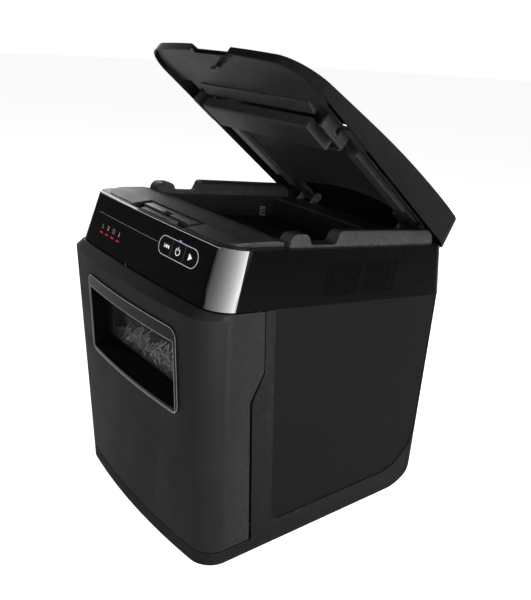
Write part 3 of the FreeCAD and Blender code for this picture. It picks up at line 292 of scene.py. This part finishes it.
def refined(node, width=0.6, segments=2, angle=34.0, smooth=30.0):
    """A copy of a CAD node's surface with its sharp edges rounded; it stands for the node."""
    source = NODES[node]
    mesh = source.data.copy()
    mesh.name = node + "_shape"
    work = bmesh.new()
    work.from_mesh(mesh)
    bmesh.ops.remove_doubles(work, verts=work.verts, dist=2e-6)
    if node not in KEPT_TRIANGLES:
        bmesh.ops.dissolve_limit(work, angle_limit=math.radians(0.4), verts=work.verts,
                                 edges=work.edges)
    work.to_mesh(mesh)
    work.free()
    for attribute in list(mesh.attributes):
        if attribute.name == "custom_normal":
            mesh.attributes.remove(attribute)
    piece = link(bpy.data.objects.new(node + "_look", mesh))
    for polygon in mesh.polygons:
        polygon.use_smooth = True
    mesh.set_sharp_from_angle(angle=math.radians(smooth))
    if width > 0:
        bevel = piece.modifiers.new("round", "BEVEL")
        bevel.width = width * MM
        bevel.segments = segments
        bevel.limit_method = "ANGLE"
        bevel.angle_limit = math.radians(angle)
        bevel.use_clamp_overlap = True
        bevel.harden_normals = True
    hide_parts(node)
    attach(piece, BODY_OF[node])
    slot = SLOT_OF[node]
    dress(piece, slot)
    return piece


def piece_from(name, work, body, slot, material=None, smooth=True):
    mesh = bpy.data.meshes.new(name)
    work.to_mesh(mesh)
    work.free()
    piece = link(bpy.data.objects.new(name, mesh))
    if smooth:
        for polygon in mesh.polygons:
            polygon.use_smooth = True
        mesh.set_sharp_from_angle(angle=math.radians(35))
    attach(piece, body)
    dress(piece, slot, material)
    return piece


for node, piece in NODES.items():
    dress(piece, SLOT_OF[node])

ROUNDED = {
    "right_side_shell": 0.9, "left_side_shell": 0.9, "base_tray": 0.8, "rear_panel": 0.5,
    "bin_fascia": 0.9, "window_bezel": 1.0, "head_band": 0.4, "control_panel": 0.8,
    "top_deck": 0.5, "side_ridges": 1.4, "latch_button": 0.7,
    "latch_strike": 0.7, "paper_tray": 0.5, "lid_shell": 0.8, "lid_front_liner": 0.7,
    "lid_side_liners": 0.8, "lid_vault": 0.4, "bypass_chute": 0.7, "pressure_bar": 0.8,
    "hinge_brackets": 0.4, "reverse_key": 0.25, "power_key": 0.25, "forward_key": 0.25,
    "power_inlet": 0.4, "switch_body": 0.4, "rocker_switch": 0.4, "rubber_feet": 0.5,
    "casing_screws": 0.3,
}
for node, width in ROUNDED.items():
    refined(node, width)


# ---------------------------------------------------------------- marks on the control panel

def panel_depth(x):
    """How far the bowed panel lies behind its middle, in millimetres."""
    return PANEL_BULGE * x ** 2 / (2 * PANEL_ARC)


def on_panel(x, y, lift):
    return PANEL @ (Vector((x, y, lift - panel_depth(x))) * MM)


KEYS_LEAN = PANEL_BULGE * KEYS_X / PANEL_ARC
KEYS = (PANEL @ Matrix.Translation(Vector((KEYS_X, 0, -panel_depth(KEYS_X))) * MM)
        @ Matrix.Rotation(KEYS_LEAN, 4, "Y"))


def on_keys(x, y, lift):
    return KEYS @ (Vector((x, y, lift)) * MM)


def add_tile(work, outline, low, high, spot):
    """A thin solid tile with a flat outline, laid on a surface."""
    bottom = [work.verts.new(spot(x, y, low)) for x, y in outline]
    top = [work.verts.new(spot(x, y, high)) for x, y in outline]
    count = len(outline)
    work.faces.new(top)
    work.faces.new(list(reversed(bottom)))
    for index in range(count):
        after = (index + 1) % count
        work.faces.new((bottom[index], bottom[after], top[after], top[index]))


def add_line(work, path, width, low, high, spot, closed=False):
    """A thin raised line along a path on a surface."""
    count = len(path)
    rails = []
    for index, (x, y) in enumerate(path):
        before = path[index - 1] if closed or index > 0 else path[index]
        after = path[(index + 1) % count] if closed or index < count - 1 else path[index]
        along = Vector((after[0] - before[0], after[1] - before[1])).normalized()
        side = Vector((-along.y, along.x)) * width / 2
        rails.append([work.verts.new(spot(x + s * side.x, y + s * side.y, z))
                      for s, z in ((-1, low), (1, low), (1, high), (-1, high))])
    for index in range(count if closed else count - 1):
        here, there = rails[index], rails[(index + 1) % count]
        for corner in range(4):
            after = (corner + 1) % 4
            work.faces.new((here[corner], there[corner], there[after], here[after]))
    if not closed:
        work.faces.new(list(rails[0]))
        work.faces.new(list(reversed(rails[-1])))


def capsule_path(middle_x, half_length, half_width, steps=12, runs=12):
    path = []
    reach = half_length - half_width
    for way, start in ((1, -90), (-1, 90)):
        for step in range(steps + 1):
            turn = math.radians(start + 180 * step / steps)
            path.append((middle_x + way * reach + half_width * math.cos(turn),
                         half_width * math.sin(turn)))
        for step in range(1, runs):
            path.append((middle_x + way * reach * (1 - 2 * step / runs), way * half_width))
    return path


def arc_path(x, y, radius, start, end, steps=16):
    path = []
    for step in range(steps + 1):
        turn = math.radians(start + (end - start) * step / steps)
        path.append((x + radius * math.cos(turn), y + radius * math.sin(turn)))
    return path


KEY_FACE = -0.36         # the keys' faces lie this far behind the keys' plane
KEY_PITCH = 29.3
MARK_LOW, MARK_HIGH = -0.05, 0.06
CAPSULE = dict(middle_x=KEYS_X, half_length=45.2, half_width=12.2)
STATUS_ROW = -17.0       # y of the four symbols; the lit dashes lie below them
STATUS_PLACES = (-118.0, -99.5, -81.0, -62.5)


def key_icons():
    """Rewind, power and forward marks on the three keys: white print with a painted glow."""
    low, high = KEY_FACE, KEY_FACE + 0.09

    def triangle(work, x, way, half):
        corners = [(x, -half), (x + way * half * 1.7, 0), (x, half)]
        add_tile(work, corners[::way], low, high, on_keys)

    reverse = bmesh.new()
    for shift in (3.4, 8.6):
        triangle(reverse, shift - KEY_PITCH, -1, 2.7)
    add_line(reverse, [(-2.6 - KEY_PITCH, -2.8), (-2.6 - KEY_PITCH, 2.8)], 0.9, low, high, on_keys)
    piece_from("reverse_icon", reverse, "reverse_key", "key_plastic", MATERIALS["icon_white_painted_glow"])

    power = bmesh.new()
    add_line(power, arc_path(0, -0.6, 4.6, 125, 415, 28), 1.0, low, high, on_keys)
    add_line(power, [(0, 0.4), (0, 5.6)], 1.0, low, high, on_keys)
    piece_from("power_icon", power, "power_key", "key_plastic", MATERIALS["icon_white_painted_glow"])

    forward = bmesh.new()
    triangle(forward, KEY_PITCH - 4.4, 1, 4.7)
    piece_from("forward_icon", forward, "forward_key", "key_plastic", MATERIALS["icon_white_painted_glow"])


def straight(start, end, y, steps):
    """Points along a level line, close enough together to follow the bowed panel."""
    return [(start + (end - start) * step / steps, y) for step in range(steps + 1)]


def panel_marks():
    """The capsule's outline, the fine lines, a painted highlight along the panel's top edge, the
    power lamp, and the four status marks.
    """
    fine = bmesh.new()
    # The capsule's outline is grey print with a painted glow.
    add_line(fine, capsule_path(**CAPSULE), 0.7, -0.10, 0.12, on_panel, closed=True)
    piece_from("capsule_outline", fine, "cabinet", "gloss_panel", MATERIALS["grey_painted_glow"])

    # A fine line across the panel, with a painted glow.
    divider = bmesh.new()
    add_line(divider, straight(-142, 40, 0.0, 24), 0.45, -0.05, 0.05, on_panel)
    piece_from("dividing_line", divider, "cabinet", "gloss_panel", MATERIALS["dim_line_painted_glow"])

    lamp = bmesh.new()
    add_tile(lamp, [(KEYS_X - 2.8, 12.95), (KEYS_X + 2.8, 12.95), (KEYS_X + 2.8, 14.4),
                    (KEYS_X - 2.8, 14.4)], -0.28, -0.12, on_panel)
    piece_from("power_lamp_face", lamp, "cabinet", "red_lights", MATERIALS["icon_blue"])

    # A thin glowing line along the panel's top edge: a painted highlight standing in for the light
    # its rounded edge catches.
    rim = bmesh.new()
    add_line(rim, straight(-168, 168, PANEL_MIDDLE, 48), 0.5, -0.10, 0.10, on_panel)
    piece_from("top_edge_painted_highlight", rim, "cabinet", "gloss_panel", MATERIALS["grey_painted_glow"])

    low, high, row = MARK_LOW, MARK_HIGH, STATUS_ROW
    symbols = bmesh.new()
    dashes = bmesh.new()
    for x in STATUS_PLACES:
        add_tile(dashes, [(x - 4.4, row - 10.7), (x + 4.4, row - 10.7), (x + 4.4, row - 8.7),
                          (x - 4.4, row - 8.7)], -0.25, -0.1, on_panel)
    drawer, jam, lid, heat = STATUS_PLACES
    add_line(symbols, [(drawer - 3, row - 3), (drawer + 3, row - 3), (drawer, row + 3)], 0.8, low,
             high, on_panel, closed=True)
    add_tile(symbols, [(jam - 3.2, row - 2.6), (jam + 3.2, row - 2.6), (jam, row + 1.0)], low, high,
             on_panel)
    add_line(symbols, [(jam - 3.2, row + 2.4), (jam + 3.2, row + 2.4)], 0.9, low, high, on_panel)
    add_line(symbols, [(lid - 3, row - 2.8), (lid + 3, row - 2.8), (lid + 3, row + 2.8),
                       (lid - 3, row + 2.8)], 0.8, low, high, on_panel, closed=True)
    add_line(symbols, arc_path(heat, row - 1.8, 1.6, 0, 330, 12), 0.8, low, high, on_panel,
             closed=True)
    add_line(symbols, [(heat, row), (heat, row + 3.6)], 1.0, low, high, on_panel)
    # The status symbols are print with a painted glow; the red dashes below them are lamps.
    piece_from("status_symbols", symbols, "cabinet", "red_lights", MATERIALS["rose_painted_glow"])
    piece_from("status_dashes", dashes, "cabinet", "red_lights", MATERIALS["icon_red"])


# ---------------------------------------------------------------- shreds behind the window

HEAP_HALF = 150.0        # half of the heap's width
HEAP_FOOT = 36.0
HEAP_FRONT = -187.0      # y of the heap's front face
HEAP_CREST = -168.0      # y of its highest line
HEAP_BACK = -75.0
HEAP_FALL = 1.15         # how steeply its back falls away
SHREDS_LOW = Vector((-151.0, -192.6, 35.5))
SHREDS_HIGH = Vector((151.0, -72.0, 298.0))
STRIPS = 1100


def heap_surface(u, v):
    """A point on the heap: u runs along X from -1 to 1, v from the foot up and over the top."""
    crown = 245.0 + 12.0 * u
    brow = crown - 10.0
    if v < 1.0:
        return (Vector((HEAP_HALF * u, HEAP_FRONT - 1.5 + 1.5 * v,
                        HEAP_FOOT + (brow - HEAP_FOOT) * v)), Vector((0, -1, 0)))
    y = HEAP_FRONT + 160.0 * (v - 1.0)
    if y < HEAP_CREST:
        rise = math.sin((y - HEAP_FRONT) / (HEAP_CREST - HEAP_FRONT) * math.pi / 2)
        return (Vector((HEAP_HALF * u, y, brow + (crown - brow) * rise)),
                Vector((0, -0.4, 0.9)).normalized())
    return (Vector((HEAP_HALF * u, y, crown - HEAP_FALL * (y - HEAP_CREST))),
            Vector((0, 0.75, 0.66)).normalized())


def add_strip(work, spot, normal, rng):
    """One curled strip of paper lying near the heap's surface."""
    length = rng.uniform(15.0, 30.0)
    width = rng.uniform(2.6, 3.8)
    curl = rng.uniform(-1.0, 1.0) / 30.0
    wave = rng.uniform(0.0, 6.28)
    across = normal.orthogonal().normalized()
    across.rotate(Matrix.Rotation(rng.uniform(0, 6.28), 3, normal))
    along = normal.cross(across)
    segments = 9
    heading = 0.0
    place = spot.copy()
    rails = []
    for index in range(segments + 1):
        lift = normal * (0.8 * math.sin(wave + index * 0.5))
        tilt = normal * (0.6 * math.sin(wave * 2 + index * 0.4))
        ahead = along * math.cos(heading) + across * math.sin(heading)
        side = normal.cross(ahead) * width / 2
        rails.append([place + lift - side - tilt, place + lift + side + tilt])
        place = place + ahead * length / segments
        heading += curl * length / segments
    thick = normal * 0.12
    verts = []
    for pair in rails:
        row = []
        for point in pair + [pair[1] - thick, pair[0] - thick]:
            kept = Vector([min(max(point[k], SHREDS_LOW[k]), SHREDS_HIGH[k]) for k in range(3)])
            row.append(work.verts.new(kept * MM))
        verts.append(row)
    for here, there in zip(verts, verts[1:]):
        for corner in range(4):
            after = (corner + 1) % 4
            work.faces.new((here[corner], there[corner], there[after], here[after]))
    work.faces.new(list(reversed(verts[0])))
    work.faces.new(verts[-1])


def shreds():
    """A lumpy heap with loose strips over its front, top and back."""
    rng = random.Random(7)
    work = bmesh.new()
    columns, rows = 44, 36
    grid = []
    for row in range(rows + 1):
        line = []
        for column in range(columns + 1):
            point, normal = heap_surface(2 * column / columns - 1, 1.7 * row / rows)
            bump = noise.noise(Vector((point.x, point.y, point.z)) / 16.0)
            inward = normal * (-4.0 + 2.2 * bump)
            line.append(work.verts.new((point + inward) * MM))
        grid.append(line)
    for low, high in zip(grid, grid[1:]):
        for column in range(columns):
            work.faces.new((low[column], low[column + 1], high[column + 1], high[column]))
    rim = [edge for edge in work.edges if edge.is_boundary]
    walls = bmesh.ops.extrude_edge_only(work, edges=rim)["geom"]
    for vert in [item for item in walls if isinstance(item, bmesh.types.BMVert)]:
        vert.co.y = max(vert.co.y, HEAP_BACK * MM)
        vert.co.z = SHREDS_LOW.z * MM
    bmesh.ops.holes_fill(work, edges=[edge for edge in work.edges if edge.is_boundary])
    bmesh.ops.recalc_face_normals(work, faces=work.faces)
    for _ in range(STRIPS):
        share = rng.random()
        v = rng.uniform(0.90, 1.13) if share < 0.62 else rng.uniform(1.1, 1.7)
        spot, normal = heap_surface(rng.uniform(-0.98, 0.98), v)
        spot += normal * rng.uniform(-2.6, 1.6)
        lean = Vector((rng.uniform(-0.5, 0.5), rng.uniform(-0.5, 0.5), rng.uniform(-0.5, 0.5)))
        add_strip(work, spot, (normal + lean * 0.5).normalized(), rng)
    heap = piece_from("shred_heap", work, "bin", "shredded_paper")
    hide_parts("paper_shreds")


def bezel_painted_highlights():
    """Two fine glowing beads along the window frame's outer rim and its mouth: painted highlights
    standing in for the light its rounded edges catch.
    """
    bezel = NODES["window_bezel"]
    spots = [bezel.matrix_world @ vertex.co for vertex in bezel.data.vertices]
    tree = BVHTree.FromPolygons(spots, [tuple(face.vertices) for face in bezel.data.polygons])

    def on_bezel(x, z, lift):
        hit = tree.ray_cast(Vector((x, -300.0, z)) * MM, Vector((0, 1, 0)), 0.1)[0]
        y = hit.y / MM if hit else on_bezel.last
        on_bezel.last = y
        return Vector((x, y - lift, z)) * MM

    on_bezel.last = -220.0    # used where a ray meets nothing

    def rounded(left, right, low, high, radius):
        path = []
        corners = ((right, low, -90), (right, high, 0), (left, high, 90), (left, low, 180))
        for x, z, start in corners:
            middle_x = x + (-radius if x == right else radius)
            middle_z = z + (-radius if z == high else radius)
            path += arc_path(middle_x, middle_z, radius, start, start + 90, 8)
        dense = []
        for (x0, z0), (x1, z1) in zip(path, path[1:] + path[:1]):
            parts = max(1, round(math.hypot(x1 - x0, z1 - z0) / 8.0))
            dense += [(x0 + (x1 - x0) * part / parts, z0 + (z1 - z0) * part / parts)
                      for part in range(parts)]
        return dense

    beads = bmesh.new()
    add_line(beads, rounded(-112.7, 136.7, 227.3, 348.7, 13.6), 0.8, -0.4, 0.03, on_bezel,
             closed=True)
    add_line(beads, rounded(-107.2, 131.2, 229.4, 330.8, 3.0), 0.7, -0.4, 0.03, on_bezel,
             closed=True)
    piece_from("bezel_painted_highlights", beads, "bin", "gloss_bezel", MATERIALS["dim_line_painted_glow"])


key_icons()
panel_marks()
bezel_painted_highlights()
shreds()


# ---------------------------------------------------------------- stage, lights, camera

def seen_or_felt(tree, seen, felt):
    """A strength that is higher where the stage itself is seen than where it lights things."""
    ray = tree.nodes.new("ShaderNodeLightPath")
    level = tree.nodes.new("ShaderNodeMapRange")
    level.inputs["To Min"].default_value = felt
    level.inputs["To Max"].default_value = seen
    tree.links.new(ray.outputs["Is Camera Ray"], level.inputs["Value"])
    return level.outputs["Result"]


FLOOR_RADIUS = 14.0
FLOOR_CORNERS = 48


def stage_floor():
    """A pale floor all round."""
    work = bmesh.new()
    ring = []
    for step in range(FLOOR_CORNERS):
        turn = 2 * math.pi * step / FLOOR_CORNERS
        ring.append(work.verts.new((FLOOR_RADIUS * math.cos(turn), FLOOR_RADIUS * math.sin(turn),
                                    0)))
    work.faces.new(ring)
    mesh = bpy.data.meshes.new("floor")
    work.to_mesh(mesh)
    work.free()
    floor = link(bpy.data.objects.new("floor", mesh))
    material, tree, shader = node_tree("floor")
    shader.inputs["Base Color"].default_value = (0.6, 0.6, 0.6, 1)
    shader.inputs["Roughness"].default_value = 0.9
    shader.inputs["Specular IOR Level"].default_value = 0.1
    shader.inputs["Emission Color"].default_value = (1, 1, 1, 1)
    tree.links.new(seen_or_felt(tree, 0.92, 0.12), shader.inputs["Emission Strength"])
    mesh.materials.append(material)


def flat_light(name, location, width, height, radiance):
    """A soft rectangle of light that shines down until it is turned."""
    data = bpy.data.lights.new(name, "AREA")
    data.shape = "RECTANGLE"
    data.size = width
    data.size_y = height
    data.energy = radiance * math.pi * width * height
    lamp = link(bpy.data.objects.new(name, data))
    lamp.location = location
    lamp.visible_camera = False
    return lamp


def softbox(name, azimuth, distance, low, high, width, radiance):
    """A flat light that stands beside the shredder, at an azimuth from its front, and faces it."""
    across = math.radians(azimuth)
    place = (math.sin(across) * distance, -math.cos(across) * distance, (low + high) / 2)
    lamp = flat_light(name, place, width, high - low, radiance)
    lamp.rotation_euler = (math.radians(90), 0, across)


# A fan of lights whose strength rises from the front round to the right-hand side; the glossy
# front corner shows it as one smooth gradient.
FAN_STEPS = 13
FAN_START = -12.0
FAN_TURN = 9.0
FAN_FIRST = 0.80
FAN_RISE = 1.25
STAND_OFF = 1.9          # metres from the shredder's middle

stage_floor()
for step in range(FAN_STEPS):
    share = min(1.0, step / (FAN_STEPS - 4))
    softbox(f"fan_{step}", FAN_START + FAN_TURN * step, STAND_OFF, 0.70 - 0.68 * share,
            1.20 - 0.30 * share, 0.60, FAN_FIRST * FAN_RISE ** step)
softbox("left_rim", -98, STAND_OFF, 0.02, 1.3, 1.1, 3.0)
softbox("back_fill", 183, 2.4, 0.3, 1.7, 1.5, 9.0)
softbox("side_edges", 150, STAND_OFF, 1.7, 2.7, 0.8, 2.5)
flat_light("top", (0.3, -0.2, 2.6), 2.4, 2.4, 0.8)

world = bpy.data.worlds.new("studio")
world.use_nodes = True
sky = world.node_tree
background = sky.nodes["Background"]
background.inputs["Color"].default_value = (1, 1, 1, 1)
sky.links.new(seen_or_felt(sky, 1.0, 0.05), background.inputs["Strength"])
bpy.context.scene.world = world
bpy.context.scene.view_settings.view_transform = "Standard"

SENSOR = 36.0            # mm, along the picture's longer side
PICTURE_HEIGHT = 600     # pixels
FOCAL_PIXELS = 722.7

camera_data = bpy.data.cameras.new("camera")
camera_data.lens = FOCAL_PIXELS * SENSOR / PICTURE_HEIGHT
camera_data.sensor_width = SENSOR
camera_data.sensor_fit = "AUTO"
camera_data.clip_start = 0.05
camera = link(bpy.data.objects.new("camera", camera_data))
right = Vector((0.59835, 0.79958, 0.0515))
down = Vector((0.31189, -0.17322, -0.93419))
forward = Vector((-0.73804, 0.57504, -0.35303))
turn = Matrix((right, -down, -forward)).transposed().to_4x4()
camera.matrix_world = Matrix.Translation((0.8450, -0.6425, 0.7015)) @ turn
bpy.context.scene.camera = camera
